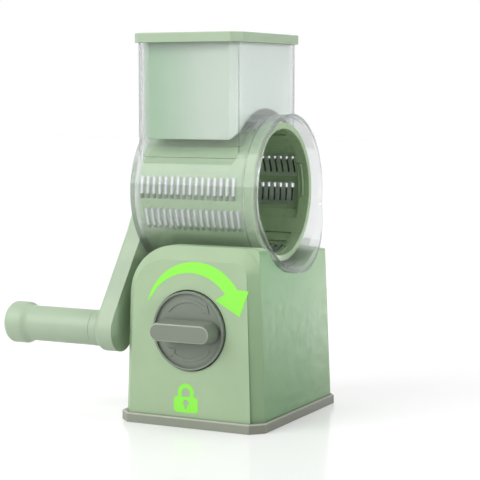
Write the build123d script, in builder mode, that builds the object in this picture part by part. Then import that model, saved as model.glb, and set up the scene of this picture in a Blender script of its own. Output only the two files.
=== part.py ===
from build123d import *
import os
from math import cos, degrees, hypot, radians, sin, sqrt

# Hand cranked rotary vegetable shredder with a suction base, in millimetres.
# +Z is up, +X runs along the drum towards the outlet mouth, and the lock knob faces -Y.
# The origin is on the table, under the middle of the base.
# Angles round the drum are counted from the front (-Y) and grow upwards (+Z).

os.makedirs("parts", exist_ok=True)

# ---- Clearances ----
seat_gap = 0.3            # between a piece and the seat that carries it
running_gap = 0.06        # radial, shaft in a bearing
slip_gap = 0.05           # each side, square drive and screw shanks
fit_gap = 0.2             # each side, moulded covers and plugs
overcut = 10.0            # how far a cut runs past the form that it trims
weld = 1.0                # how far a form runs into the one that it joins

# ---- Foot frame ----
foot_overhang_x = 2.4     # frame beyond the housing's foot, each side
foot_overhang_y = 3.5
foot_height = 7.4
foot_corner = 9.4         # corner chamfer
foot_edge = 1.0           # bevel round the top edge

# ---- Base housing ----
base_width = 119.6        # X, at the foot
base_depth = 141.8        # Y, at the foot
base_corner = 7.4         # chamfer on the four upright corners
base_wall = 2.6
side_lean = 2.1           # degrees, left and right walls
face_lean = 1.1           # degrees, front and back walls
front_top = 138.0         # height of the front rim
back_top = 127.6          # height of the back rim
panel_top = 127.6         # height of the flat front panel
bezel_depth = 8.0         # how far the bevel round the panel runs back
crank_side_radius = 40.0  # upper front corner, crank side
mouth_side_radius = 20.0  # upper front corner, mouth side
panel_crank_radius = 27.0
panel_mouth_radius = 11.0
shoulder_radius = 5.0     # upper mouth side edge behind the bezel
saddle_radius = 62.8      # trough under the clear housing

# ---- Drum and its clear housing ----
drum_z = 177.0            # height of the drum axis
drum_back = -52.5         # X of the drum's crank side end
drum_front = 46.0         # X of the drum's mouth end
drum_radius = 54.0
ring_bore = 49.5          # radius of the outlet in the drum's front ring
ring_length = 7.0
rim_length = 1.2
disc_length = 1.8         # back disc, and the land behind the front ring
plate_thick = 2.2
plate_count = 4
plate_arc = 78.0          # degrees
plate_middle = -8.5       # degrees, middle of the plate that faces front
rib_overlap = 1.5         # degrees that a rib reaches under a plate's edge
seam_gap = 0.4            # degrees between a plate and a rib's bar
border_rise = 1.2         # raised border on a plate's inside
border_inset = 2.0        # degrees from the plate's edge to the border
border_arc = 9.3          # degrees of border along each side
border_band = 1.9         # X width of the border at the mouth end
tab_arc = 31.0            # degrees of finger tab inside the front ring
tab_width = 3.8           # X
tab_bore = 48.0           # radius of the tab's inner face
tab_rim = 0.9             # round the tab's shallow pocket
tab_pocket = 0.6
tab_corner = 1.4
row_middle = 13.0         # degrees from the plate's middle to each row of teeth
tooth_count = 16
tooth_pitch = 5.28
tooth_arc = 14.0          # degrees of hood
mouth_arc = 4.0           # degrees of opening at the hood's lower end
tooth_close = 2.0         # degrees of solid end at the hood's upper end
tooth_width = 3.0
tooth_rise = 1.0          # hood above the plate's surface
tooth_skin = 0.7
crown = 0.6               # rounding of the hood's back
row_x = -7.8              # middle of the two rows along the drum
row_shift = 1.5           # upper row back and lower row forward of that
slot_gap = 0.2            # each side, tooth in its slot
strip_thick = 0.6
strip_margin = 1.5        # degrees of strip beyond the teeth
strip_edge = 0.1          # strip beyond its end teeth
mouth_wall = 0.2          # strip steel left beside a tooth's opening
hub_radius = 13.0
hub_length = 14.0
shell_wall = 2.5
shell_back = -57.5        # X of the back wall's outer face
shell_radius = 58.8
back_wall = 3.0
collar_start = 39.0       # X where the shell steps out round the mouth
collar_step = 1.7
collar_ramp = 1.5
lip_x = 52.8              # X of the upper edge of the mouth
lip_break = 165.0         # height where the edge starts to lean out into the spout
spout_reach = 9.3         # how far the spout stands out at the bottom
spout_flare = 2.8         # growth of the radius at the spout
flare_start = 50.0        # X where the flare begins
lip_blend = 25.0          # radius of the bend in the mouth's edge

# ---- Hopper and pusher ----
overall_height = 300.0
hopper_width = 87.4       # X, outside
hopper_depth = 108.4      # Y, outside
hopper_x = -10.9          # middle of the hopper
hopper_corner = 4.6
cap_thick = 7.4
cap_overhang_x = 3.1      # cap beyond the hopper, each side
cap_overhang_y = 2.7
cap_corner = 7.0
cap_edge = 0.8            # rounding of the top edge
block_gap = 1.8           # between the pusher block and the hopper wall
block_wall = 2.2
block_corner = 4.2
block_radius = 65.0       # hollow underside, round the drum axis
plug_depth = 8.0          # rim of the cap inside the block

# ---- Dock that holds the clear housing on the base ----
dock_length = 60.0        # X
dock_width = 36.0         # Y
dock_x = -10.0
dock_bottom = 108.0

# ---- Crank and grip ----
crank_angle = 29.6        # degrees from straight down towards the front
crank_throw = 123.6
arm_thick = 16.0
arm_gap = 2.0             # between the shell's back and the arm's hub
arm_lean = 4.7            # how much further out the pin end stands
lean_start = 45.0         # distance from the axis where the lean starts
lean_end = 118.0          # and where it stops
arm_hub_radius = 15.0
arm_end_radius = 17.3
arm_outer_fillet = 4.0
arm_bend = 20.0           # radius where the lean starts and stops
boss_radius = 14.2
boss_length = 7.0
grip_gap = 0.3
grip_length = 79.1
grip_radius = 14.0
bulge_radius = 16.6
bulge_length = 14.6
bulge_ramp = 8.0
grip_end_fillet = 5.0
pin_radius = 4.0
pin_wall = 3.0            # arm left closed over the pin's blind end
pin_head_radius = 7.0
pin_head_thick = 4.5
pin_key = 2.9             # hexagon socket, centre to corner
pin_key_depth = 2.6
well_radius = 9.0         # blind well in the grip's end
well_depth = 12.0
end_cap_thick = 3.5
end_cap_proud = 0.3
end_cap_edge = 0.25

# ---- Axle and bush ----
axle_radius = 6.0
drive_square = 8.4
socket_depth = 7.0        # square socket in the arm's hub
web_thick = 3.0           # behind the axle screw's head
axle_head_radius = 9.0
axle_head_thick = 2.0
bush_radius = 9.0
bush_flange_radius = 12.0
bush_flange = 1.2
axle_screw_radius = 2.5
axle_screw_head = 5.0
axle_screw_head_thick = 3.2
axle_screw_length = 22.0
axle_screw_key = 2.3      # hexagon socket, centre to corner
hub_cover_radius = 10.0
hub_cover_proud = 1.0
hub_cover_sink = 1.0      # the cover's disc below the arm's outer face
hub_cover_wall = 2.0

# ---- Lock knob, cam shaft and suction foot ----
knob_z = 74.2
knob_radius = 30.3
knob_proud = 2.6          # knob rim in front of the housing's face
knob_thick = 8.0
knob_rim = 1.6
knob_dish = 2.0
recess_gap = 0.9          # round the knob
bar_length = 53.0
bar_height = 13.6
bar_reach = 15.0          # bar in front of the knob's rim
bar_root = 1.5            # extra height of the bar at its root, each side
bar_fillet = 1.4
shaft_radius = 7.0
shaft_flange_radius = 14.0
shaft_flange = 3.0
shaft_boss_radius = 11.0
shaft_boss_length = 26.0
cam_throw = 2.0           # eccentric pin from the shaft's axis
cam_pin_radius = 2.5
cam_pin_proud = 1.5       # pin beyond the yoke
cam_rest = 225.0          # degrees, where the pin stands when unlocked
cam_slot_gap = 0.3
cam_slot_land = 1.0       # extra slot at each end
shaft_clear = 1.5         # between the shaft's end and the yoke
clip_thick = 1.0
clip_radius = 9.5
groove_depth = 1.2
knob_screw_spread = 21.0
knob_screw_radius = 1.4
knob_screw_length = 7.0
knob_screw_head = 2.6
knob_screw_head_thick = 1.6
stem_radius = 5.0
yoke_width = 24.0         # X
yoke_height = 22.0        # Z
yoke_thick = 8.0          # Y
yoke_corner = 3.0
collar_proud = 1.5        # stem collar beyond the spring
collar_thick = 2.5
spring_space = 14.0       # between the guide sleeve and the collar
plate_floor = 3.0         # thickness of the bottom plate
guide_radius = 6.0        # sleeve round the stem
guide_height = 10.0
cup_radius = 48.0
cup_hole_gap = 2.0        # round the cup in the foot frame
cup_lip_width = 3.0
cup_thick = 1.6
cup_hollow = 1.0          # underside above the lip
cup_height = 4.0
cup_lift = 0.2            # cup's lip above the table
cup_boss_radius = 9.0
stem_foot_radius = 7.0
stem_foot_thick = 1.4
stem_cover = 1.6          # rubber under the stem's foot
spring_radius = 7.6
spring_wire = 0.7
spring_turns = 6
post_radius = 5.0
post_inset_x = 9.8        # from the housing's side wall, at the foot
post_inset_y = 18.9       # from its front or back wall
post_height = 22.0
screw_radius = 1.6
screw_head_radius = 3.2
screw_head_thick = 2.0
screw_length = 20.0
screw_recess = 2.0        # depth of the head below the frame's underside
screw_slot = 0.8

# ---- Places that follow from the sizes above ----
foot_width = base_width + 2 * foot_overhang_x
foot_depth = base_depth + 2 * foot_overhang_y
post_x = base_width / 2 - post_inset_x
post_y = base_depth / 2 - post_inset_y
base_top = max(front_top, back_top)
side_slope = sin(radians(side_lean)) / cos(radians(side_lean))
face_slope = sin(radians(face_lean)) / cos(radians(face_lean))
cavity_roof = panel_top - base_wall
drum_axis = Axis((0, 0, drum_z), (-1, 0, 0))
plate_inner = drum_radius - plate_thick
land_back_x = drum_back + disc_length
ring_start_x = drum_front - ring_length
land_front_x = ring_start_x - disc_length
plate_start_x = drum_back + rim_length + 2 * slip_gap
plate_end_x = ring_start_x - 2 * slip_gap
collar_radius = shell_radius + collar_step
spout_x = lip_x + spout_reach
spout_bottom = drum_z - collar_radius - spout_flare
cap_bottom = overall_height - cap_thick
hopper_top = cap_bottom - fit_gap
arm_inner = shell_back - arm_gap
arm_pin_inner = arm_inner - arm_lean
arm_pin_outer = arm_pin_inner - arm_thick
boss_end = arm_pin_outer - boss_length
grip_start = boss_end - grip_gap
grip_end = grip_start - grip_length
pin_y = -crank_throw * sin(radians(crank_angle))
pin_z = drum_z - crank_throw * cos(radians(crank_angle))
knob_face = base_depth / 2 - (knob_z - foot_height) * face_slope   # housing's front face there
knob_front = knob_face + knob_proud
knob_back = knob_front - knob_thick
flange_back = knob_back - shaft_flange
recess_floor = flange_back - seat_gap
recess_depth = knob_face - recess_floor
shaft_end = yoke_thick / 2 + shaft_clear
boss_face = recess_floor - base_wall - shaft_boss_length
cam_x = cam_throw * cos(radians(cam_rest))
cam_z = knob_z + cam_throw * sin(radians(cam_rest))
floor_top = foot_height + plate_floor
pocket_floor = dock_bottom - seat_gap


def half_width(z):
    """Half of the housing's width in X at height z."""
    return base_width / 2 - (z - foot_height) * side_slope


def half_depth(z):
    """Half of the housing's depth in Y at height z."""
    return base_depth / 2 - (z - foot_height) * face_slope


def radial_plane(angle):
    """Plane through the drum axis: x along the axis, y outwards at the angle."""
    a = radians(angle)
    return Plane(origin=(0, 0, drum_z), x_dir=(1, 0, 0), z_dir=(0, -sin(a), -cos(a)))


def front_plane(y):
    """Upright plane facing the front at the given Y, with x to the right and z up."""
    return Plane.XZ.offset(-y)


def side_plane(x):
    """Upright plane across the drum axis at the given X, seen along +X: x is Y, y is Z."""
    return Plane.YZ.offset(x)


throw = Vector(0, -sin(radians(crank_angle)), -cos(radians(crank_angle)))


def arm_section(x):
    """Plane across the drum axis at X, facing the crank side: x runs along the arm."""
    return Plane(origin=(x, 0, drum_z), x_dir=throw, z_dir=(-1, 0, 0))


# =====================================================================================
# Base housing: a leaning, chamfered box with a bevelled front panel and a saddle on top
# =====================================================================================
def housing_blank(inset, top):
    """The housing's outer form, or its cavity when inset by the wall."""
    with BuildPart() as blank:
        for z in (foot_height, top):
            with BuildSketch(Plane.XY.offset(z)) as section:
                Rectangle(2 * (half_width(z) - inset), 2 * (half_depth(z) - inset))
                chamfer(section.vertices(), base_corner)
        loft()
    return blank.part


def panel_outline(y, inset, top, crank_radius, mouth_radius):
    """Front view of the housing with its two different upper corners."""
    bottom = foot_height - weld
    with BuildSketch(front_plane(y)) as outline:
        with BuildLine():
            Polyline(
                (-half_width(bottom) + inset, bottom),
                (half_width(bottom) - inset, bottom),
                (half_width(top) - inset, top),
                (-half_width(top) + inset, top),
                close=True,
            )
        make_face()
        upper = outline.vertices().group_by(Axis.Y)[-1].sort_by(Axis.X)
        fillet(upper[-1], mouth_radius)
        upper = outline.vertices().group_by(Axis.Y)[-1].sort_by(Axis.X)
        fillet(upper[0], crank_radius)
    return outline.sketch


panel_y = -half_depth(panel_top)
bezel_y = panel_y + bezel_depth
front_slab_depth = half_depth(foot_height) + bezel_y + overcut

with BuildPart() as bezel_trim:
    # everything in front of the bezel line that isn't panel or bevel
    with BuildSketch(front_plane(bezel_y)):
        with Locations((0, base_top / 2)):
            Rectangle(base_width + 2 * overcut, base_top + 2 * overcut)
    extrude(amount=front_slab_depth)
    outer = panel_outline(bezel_y, 0, front_top, crank_side_radius, mouth_side_radius)
    inner = panel_outline(panel_y, base_corner, panel_top, panel_crank_radius, panel_mouth_radius)
    bevel = loft([outer.face(), inner.face()], ruled=True, mode=Mode.PRIVATE)
    add(bevel, mode=Mode.SUBTRACT)
    extrude(inner, amount=front_slab_depth, mode=Mode.SUBTRACT)

with BuildPart() as cavity:
    add(housing_blank(base_wall, cavity_roof))
    rounded = panel_outline(0, base_wall, cavity_roof + weld, crank_side_radius - base_wall, shoulder_radius)
    extrude(rounded, amount=base_depth, both=True, mode=Mode.INTERSECT)
    with BuildSketch(side_plane(0)):
        with Locations((0, drum_z)):
            Circle(saddle_radius + base_wall)
    extrude(amount=base_width, both=True, mode=Mode.SUBTRACT)

web_reach = post_inset_x - base_wall / 2
with BuildPart() as base_housing:
    add(housing_blank(0, base_top))
    silhouette = panel_outline(0, 0, front_top, crank_side_radius, shoulder_radius)
    extrude(silhouette, amount=base_depth, both=True, mode=Mode.INTERSECT)
    add(bezel_trim.part, mode=Mode.SUBTRACT)
    with BuildSketch(Plane.XY.offset(back_top)):
        with Locations((0, base_depth / 2)):
            Rectangle(base_width + 2 * overcut, base_depth)
    extrude(amount=base_top, mode=Mode.SUBTRACT)
    add(cavity.part, mode=Mode.SUBTRACT)
    # walls of the dock pocket, the saddle across them, then the pocket itself
    with BuildSketch(Plane.XY.offset(pocket_floor - base_wall)):
        with Locations((dock_x, 0)):
            Rectangle(dock_length + 2 * base_wall, dock_width + 2 * base_wall)
    extrude(amount=back_top - pocket_floor)
    with BuildSketch(side_plane(0)):
        with Locations((0, drum_z)):
            Circle(saddle_radius)
    extrude(amount=base_width, both=True, mode=Mode.SUBTRACT)
    with BuildSketch(Plane.XY.offset(pocket_floor)):
        with Locations((dock_x, 0)):
            Rectangle(dock_length + 2 * seat_gap, dock_width + 2 * seat_gap)
    extrude(amount=base_top, mode=Mode.SUBTRACT)
    # cup behind the knob, with the long bearing boss of the cam shaft
    with BuildSketch(front_plane(-recess_floor + base_wall)):
        with Locations((0, knob_z)):
            Circle(knob_radius + recess_gap + base_wall)
    extrude(amount=recess_depth + base_wall / 2)
    with BuildSketch(front_plane(-boss_face)):
        with Locations((0, knob_z)):
            Circle(shaft_boss_radius)
    extrude(amount=shaft_boss_length + base_wall)
    # round recess that the knob turns in, and the shaft's bore
    with BuildSketch(front_plane(-recess_floor)):
        with Locations((0, knob_z)):
            Circle(knob_radius + recess_gap)
    extrude(amount=recess_depth + overcut, mode=Mode.SUBTRACT)
    with BuildSketch(front_plane(-boss_face + weld)):
        with Locations((0, knob_z)):
            Circle(shaft_radius + running_gap)
    extrude(amount=shaft_boss_length + base_wall + 2 * weld, mode=Mode.SUBTRACT)
    # four screw posts, each with a web to the side wall
    with BuildSketch(Plane.XY.offset(floor_top)):
        with GridLocations(2 * post_x, 2 * post_y, 2, 2):
            Circle(post_radius)
        with GridLocations(2 * post_x + web_reach, 2 * post_y, 2, 2):
            Rectangle(web_reach, base_wall)
    extrude(amount=post_height)
    with BuildSketch(Plane.XY.offset(floor_top)):
        with GridLocations(2 * post_x, 2 * post_y, 2, 2):
            Circle(screw_radius + slip_gap)
    extrude(amount=screw_length - floor_top + screw_recess + weld, mode=Mode.SUBTRACT)

base_housing.part.label = "base_housing"
export_step(base_housing.part, "parts/base_housing.step")

# =====================================================================================
# Foot frame, bottom plate and their screws
# =====================================================================================
with BuildPart() as foot_frame:
    with BuildSketch() as sole:
        Rectangle(foot_width, foot_depth)
        chamfer(sole.vertices(), foot_corner)
    extrude(amount=foot_height)
    chamfer(foot_frame.faces().sort_by(Axis.Z)[-1].edges(), foot_edge)
    with BuildSketch():
        Circle(cup_radius + cup_hole_gap)
    extrude(amount=foot_height, mode=Mode.SUBTRACT)
    with BuildSketch():
        with GridLocations(2 * post_x, 2 * post_y, 2, 2):
            Circle(screw_head_radius + seat_gap)
    extrude(amount=screw_recess + screw_head_thick, mode=Mode.SUBTRACT)
    with BuildSketch():
        with GridLocations(2 * post_x, 2 * post_y, 2, 2):
            Circle(screw_radius + slip_gap)
    extrude(amount=foot_height, mode=Mode.SUBTRACT)

foot_frame.part.label = "foot_frame"
export_step(foot_frame.part, "parts/foot_frame.step")

with BuildPart() as bottom_plate:
    with BuildSketch(Plane.XY.offset(foot_height)) as floor_sketch:
        Rectangle(
            2 * (half_width(floor_top) - base_wall - fit_gap),
            2 * (half_depth(floor_top) - base_wall - fit_gap),
        )
        chamfer(floor_sketch.vertices(), base_corner)
    extrude(amount=plate_floor)
    with BuildSketch(Plane.XY.offset(floor_top)):
        Circle(guide_radius)
    extrude(amount=guide_height)
    with BuildSketch(Plane.XY.offset(foot_height)):
        Circle(stem_radius + running_gap)
        with GridLocations(2 * post_x, 2 * post_y, 2, 2):
            Circle(screw_radius + slip_gap)
    extrude(amount=plate_floor + guide_height, mode=Mode.SUBTRACT)

bottom_plate.part.label = "bottom_plate"
export_step(bottom_plate.part, "parts/bottom_plate.step")

with BuildPart() as base_screws:
    with BuildSketch(Plane.XY.offset(screw_recess)):
        with GridLocations(2 * post_x, 2 * post_y, 2, 2):
            Circle(screw_head_radius)
    extrude(amount=screw_head_thick)
    with BuildSketch(Plane.XY.offset(screw_recess)):
        with GridLocations(2 * post_x, 2 * post_y, 2, 2):
            Circle(screw_radius)
    extrude(amount=screw_length)
    with BuildSketch(Plane.XY.offset(screw_recess)):
        with GridLocations(2 * post_x, 2 * post_y, 2, 2):
            Rectangle(screw_head_radius, screw_slot)
            Rectangle(screw_slot, screw_head_radius)
    extrude(amount=screw_head_thick / 2, mode=Mode.SUBTRACT)

base_screws.part.label = "base_screws"
export_step(base_screws.part, "parts/base_screws.step")

# =====================================================================================
# Suction foot: rubber cup, stem with its yoke, and the stem's spring
# =====================================================================================
stem_bottom = cup_lift + stem_cover
with BuildPart() as suction_cup:
    with BuildSketch(Plane.XZ):
        with BuildLine():
            Polyline(
                (0, cup_lift + cup_hollow),
                (cup_radius * 0.6, cup_lift + cup_hollow),
                (cup_radius - cup_lip_width, cup_lift),
                (cup_radius, cup_lift),
                (cup_radius, cup_lift + cup_thick),
                (cup_radius * 0.62, cup_lift + cup_hollow + cup_thick),
                (cup_boss_radius + 3, cup_lift + cup_hollow + cup_thick),
                (cup_boss_radius, cup_lift + cup_height),
                (0, cup_lift + cup_height),
                close=True,
            )
        make_face()
    revolve(axis=Axis.Z)
    with BuildSketch(Plane.XY.offset(stem_bottom - slip_gap)):
        Circle(stem_foot_radius + slip_gap)
    extrude(amount=stem_foot_thick + 2 * slip_gap, mode=Mode.SUBTRACT)
    with BuildSketch(Plane.XY.offset(stem_bottom)):
        Circle(stem_radius + slip_gap)
    extrude(amount=cup_height, mode=Mode.SUBTRACT)

suction_cup.part.label = "suction_cup"
export_step(suction_cup.part, "parts/suction_cup.step")

with BuildPart() as suction_stem:
    with BuildSketch(Plane.XY.offset(stem_bottom)):
        Circle(stem_foot_radius)
    extrude(amount=stem_foot_thick)
    with BuildSketch(Plane.XY.offset(stem_bottom)):
        Circle(stem_radius)
    extrude(amount=cam_z - yoke_height / 2 - stem_bottom)
    with BuildSketch(front_plane(-yoke_thick / 2)):
        with Locations((0, cam_z)):
            RectangleRounded(yoke_width, yoke_height, yoke_corner)
            SlotOverall(
                2 * (cam_throw + cam_pin_radius + cam_slot_gap + cam_slot_land),
                2 * (cam_pin_radius + cam_slot_gap),
                mode=Mode.SUBTRACT,
            )
    extrude(amount=-yoke_thick)
    # collar that the spring pushes against
    collar_z = floor_top + guide_height + spring_space
    with BuildSketch(Plane.XY.offset(collar_z)):
        Circle(spring_radius + collar_proud)
    extrude(amount=collar_thick)

suction_stem.part.label = "suction_stem"
export_step(suction_stem.part, "parts/suction_stem.step")

spring_bottom = floor_top + spring_wire + slip_gap
spring_height = collar_z - slip_gap - spring_wire - spring_bottom
with BuildPart() as stem_spring:
    with BuildLine():
        coil = Helix(spring_height / spring_turns, spring_height, spring_radius, center=(0, 0, spring_bottom))
    with BuildSketch(Plane(origin=coil @ 0, z_dir=coil % 0)):
        Circle(spring_wire)
    sweep(is_frenet=True)

stem_spring.part.label = "stem_spring"
export_step(stem_spring.part, "parts/stem_spring.step")

# =====================================================================================
# Lock knob, cam shaft, its clip and the knob's screws
# =====================================================================================
with BuildPart() as lock_knob:
    with BuildSketch(front_plane(-knob_back)):
        with Locations((0, knob_z)):
            Circle(knob_radius)
    extrude(amount=knob_thick)
    with BuildSketch(front_plane(-knob_front)):
        with Locations((0, knob_z)):
            Circle(knob_radius - knob_rim)
    extrude(amount=-knob_dish, mode=Mode.SUBTRACT)
    with BuildSketch(front_plane(-knob_front + knob_dish)):
        with Locations((0, knob_z)):
            SlotOverall(bar_length, bar_height + 2 * bar_root)
    with BuildSketch(front_plane(-knob_front - bar_reach)):
        with Locations((0, knob_z)):
            SlotOverall(bar_length - 2 * bar_root, bar_height)
    loft()
    fillet(lock_knob.faces().sort_by(Axis.Y)[0].edges(), bar_fillet)
    # pilot holes for the two screws
    with BuildSketch(front_plane(-knob_back)):
        with Locations((0, knob_z)):
            with GridLocations(knob_screw_spread, 0, 2, 1):
                Circle(knob_screw_radius + slip_gap)
    extrude(amount=knob_thick - knob_dish - 1, mode=Mode.SUBTRACT)

lock_knob.part.label = "lock_knob"
export_step(lock_knob.part, "parts/lock_knob.step")

clip_y = -boss_face + slip_gap
with BuildPart() as cam_shaft:
    with BuildSketch(front_plane(-flange_back)):
        with Locations((0, knob_z)):
            Circle(shaft_radius)
    extrude(amount=-(flange_back - shaft_end))
    with BuildSketch(front_plane(-knob_back)):
        with Locations((0, knob_z)):
            Circle(shaft_flange_radius)
            with GridLocations(knob_screw_spread, 0, 2, 1):
                Circle(knob_screw_radius + slip_gap, mode=Mode.SUBTRACT)
    extrude(amount=-shaft_flange)
    with BuildSketch(front_plane(-flange_back)):
        with Locations((0, knob_z)):
            with GridLocations(knob_screw_spread, 0, 2, 1):
                Circle(knob_screw_head + slip_gap)
    extrude(amount=knob_screw_head_thick, mode=Mode.SUBTRACT)
    # groove for the clip
    with BuildSketch(front_plane(clip_y)):
        with Locations((0, knob_z)):
            Circle(shaft_radius + weld)
            Circle(shaft_radius - groove_depth, mode=Mode.SUBTRACT)
    extrude(amount=-(clip_thick + slip_gap), mode=Mode.SUBTRACT)
    # eccentric pin that works in the yoke
    with BuildSketch(front_plane(-shaft_end)):
        with Locations((cam_x, cam_z)):
            Circle(cam_pin_radius)
    extrude(amount=-(shaft_end + yoke_thick / 2 + cam_pin_proud))

cam_shaft.part.label = "cam_shaft"
export_step(cam_shaft.part, "parts/cam_shaft.step")

with BuildPart() as shaft_clip:
    with BuildSketch(front_plane(clip_y + slip_gap / 2)):
        with Locations((0, knob_z)):
            Circle(clip_radius)
            Circle(shaft_radius - groove_depth + slip_gap, mode=Mode.SUBTRACT)
        with Locations((0, knob_z - clip_radius)):
            Rectangle(1.2 * shaft_radius, 1.6 * clip_radius, mode=Mode.SUBTRACT)
    extrude(amount=-(clip_thick - slip_gap))

shaft_clip.part.label = "shaft_clip"
export_step(shaft_clip.part, "parts/shaft_clip.step")

with BuildPart() as knob_screws:
    with BuildSketch(front_plane(-flange_back)):
        with Locations((0, knob_z)):
            with GridLocations(knob_screw_spread, 0, 2, 1):
                Circle(knob_screw_radius)
    extrude(amount=knob_screw_length)
    with BuildSketch(front_plane(-flange_back)):
        with Locations((0, knob_z)):
            with GridLocations(knob_screw_spread, 0, 2, 1):
                Circle(knob_screw_head)
    extrude(amount=knob_screw_head_thick)

knob_screws.part.label = "knob_screws"
export_step(knob_screws.part, "parts/knob_screws.step")

# =====================================================================================
# Clear housing: drum shell, mouth with its spout, hopper tube and dock foot in one piece
# =====================================================================================
def shell_profile(offset, back, front):
    """Half profile of the shell along the drum axis, inset by offset; x is X, y the radius."""
    ramp = collar_start + collar_ramp
    far = (front - flare_start) / (spout_x - flare_start) * spout_flare
    with BuildLine() as profile:
        Polyline(
            (back, 0),
            (back, shell_radius - offset),
            (collar_start, shell_radius - offset),
            (ramp, collar_radius - offset),
            (flare_start, collar_radius - offset),
            (front, collar_radius - offset + far),
            (front, 0),
            close=True,
        )
    return profile.line


lip_drop = (lip_break - spout_bottom) / spout_reach   # steepness of the spout's edge
with BuildPart() as clear_housing:
    with BuildSketch(radial_plane(90)):
        add(shell_profile(0, shell_back, spout_x + 2 * weld))
        make_face()
    revolve(axis=drum_axis)
    with BuildSketch(Plane.XY.offset(drum_z)) as tube:
        with Locations((hopper_x, 0)):
            Rectangle(hopper_width, hopper_depth)
        chamfer(tube.vertices(), hopper_corner)
    extrude(amount=hopper_top - drum_z)
    with BuildSketch(Plane.XY.offset(dock_bottom)):
        with Locations((dock_x, 0)):
            Rectangle(dock_length, dock_width)
    extrude(amount=drum_z - shell_radius + shell_wall - dock_bottom)
    with BuildSketch(radial_plane(90)):
        add(shell_profile(shell_wall, shell_back + back_wall, spout_x + 3 * weld))
        make_face()
    revolve(axis=drum_axis, mode=Mode.SUBTRACT)
    with BuildSketch(Plane.XY.offset(drum_z)) as bore:
        with Locations((hopper_x, 0)):
            Rectangle(hopper_width - 2 * shell_wall, hopper_depth - 2 * shell_wall)
        chamfer(bore.vertices(), hopper_corner - 1)
    extrude(amount=hopper_top - drum_z, mode=Mode.SUBTRACT)
    # the mouth's edge: upright above, leaning out into the spout below
    with BuildSketch(Plane.XZ) as edge_cut:
        with BuildLine():
            Polyline(
                (lip_x, drum_z + 2 * collar_radius),
                (lip_x, lip_break),
                (spout_x + overcut, lip_break - lip_drop * (spout_reach + overcut)),
                (spout_x + 2 * overcut, lip_break - lip_drop * (spout_reach + overcut)),
                (spout_x + 2 * overcut, drum_z + 2 * collar_radius),
                close=True,
            )
        make_face()
        bend = edge_cut.vertices().sort_by(lambda v: hypot(v.X - lip_x, v.Y - lip_break))[0]
        fillet(bend, lip_blend)
    extrude(amount=2 * collar_radius, both=True, mode=Mode.SUBTRACT)
    # hole for the axle bush
    with BuildSketch(side_plane(shell_back - weld)):
        with Locations((0, drum_z)):
            Circle(bush_radius + slip_gap)
    extrude(amount=back_wall + 2 * weld, mode=Mode.SUBTRACT)

clear_housing.part.label = "clear_housing"
export_step(clear_housing.part, "parts/clear_housing.step")

with BuildPart() as axle_bush:
    with BuildSketch(side_plane(shell_back)):
        with Locations((0, drum_z)):
            Circle(bush_radius)
    extrude(amount=back_wall)
    with BuildSketch(side_plane(shell_back)):
        with Locations((0, drum_z)):
            Circle(bush_flange_radius)
    extrude(amount=-bush_flange)
    with BuildSketch(side_plane(shell_back - bush_flange)):
        with Locations((0, drum_z)):
            Circle(axle_radius + running_gap)
    extrude(amount=bush_flange + back_wall, mode=Mode.SUBTRACT)

axle_bush.part.label = "axle_bush"
export_step(axle_bush.part, "parts/axle_bush.step")

# =====================================================================================
# Pusher: hollow block with a curved underside, closed by its cap
# =====================================================================================
block_width = hopper_width - 2 * (shell_wall + block_gap)
block_depth = hopper_depth - 2 * (shell_wall + block_gap)


def block_blank(inset, bottom, top, radius):
    """Upright chamfered block, hollowed underneath to the radius about the drum axis."""
    with BuildPart() as blank:
        with BuildSketch(Plane.XY.offset(bottom)) as section:
            with Locations((hopper_x, 0)):
                Rectangle(block_width - 2 * inset, block_depth - 2 * inset)
            chamfer(section.vertices(), block_corner - inset / 2)
        extrude(amount=top - bottom)
        with BuildSketch(side_plane(hopper_x)):
            with Locations((0, drum_z)):
                Circle(radius)
        extrude(amount=hopper_width, both=True, mode=Mode.SUBTRACT)
    return blank.part


block_bottom = drum_z + sqrt(block_radius**2 - (block_depth / 2) ** 2)
with BuildPart() as pusher_block:
    add(block_blank(0, block_bottom, cap_bottom, block_radius))
    add(block_blank(block_wall, block_bottom, cap_bottom, block_radius + block_wall), mode=Mode.SUBTRACT)

pusher_block.part.label = "pusher_block"
export_step(pusher_block.part, "parts/pusher_block.step")

with BuildPart() as pusher_cap:
    with BuildSketch(Plane.XY.offset(cap_bottom)) as cap_sketch:
        with Locations((hopper_x, 0)):
            Rectangle(hopper_width + 2 * cap_overhang_x, hopper_depth + 2 * cap_overhang_y)
        chamfer(cap_sketch.vertices(), cap_corner)
    extrude(amount=cap_thick)
    fillet(pusher_cap.faces().sort_by(Axis.Z)[-1].edges(), cap_edge)
    plug_inset = block_wall + slip_gap
    with BuildSketch(Plane.XY.offset(cap_bottom)) as plug:
        with Locations((hopper_x, 0)):
            Rectangle(block_width - 2 * plug_inset, block_depth - 2 * plug_inset)
        chamfer(plug.vertices(), block_corner)
        with Locations((hopper_x, 0)):
            Rectangle(
                block_width - 2 * (plug_inset + block_corner),
                block_depth - 2 * (plug_inset + block_corner),
                mode=Mode.SUBTRACT,
            )
    extrude(amount=-plug_depth)

pusher_cap.part.label = "pusher_cap"
export_step(pusher_cap.part, "parts/pusher_cap.step")

# =====================================================================================
# Drum: frame, four shredding plates and their steel tooth strips
# =====================================================================================
def ring_band(x0, x1, r0, r1, start, arc):
    """Band round the drum axis: x0..x1 long, r0..r1 thick, from the start angle."""
    with BuildPart() as band:
        with BuildSketch(radial_plane(start)):
            with Locations(((x0 + x1) / 2, (r0 + r1) / 2)):
                Rectangle(abs(x1 - x0), r1 - r0)
        revolve(axis=drum_axis, revolution_arc=arc)
    return band.part


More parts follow.
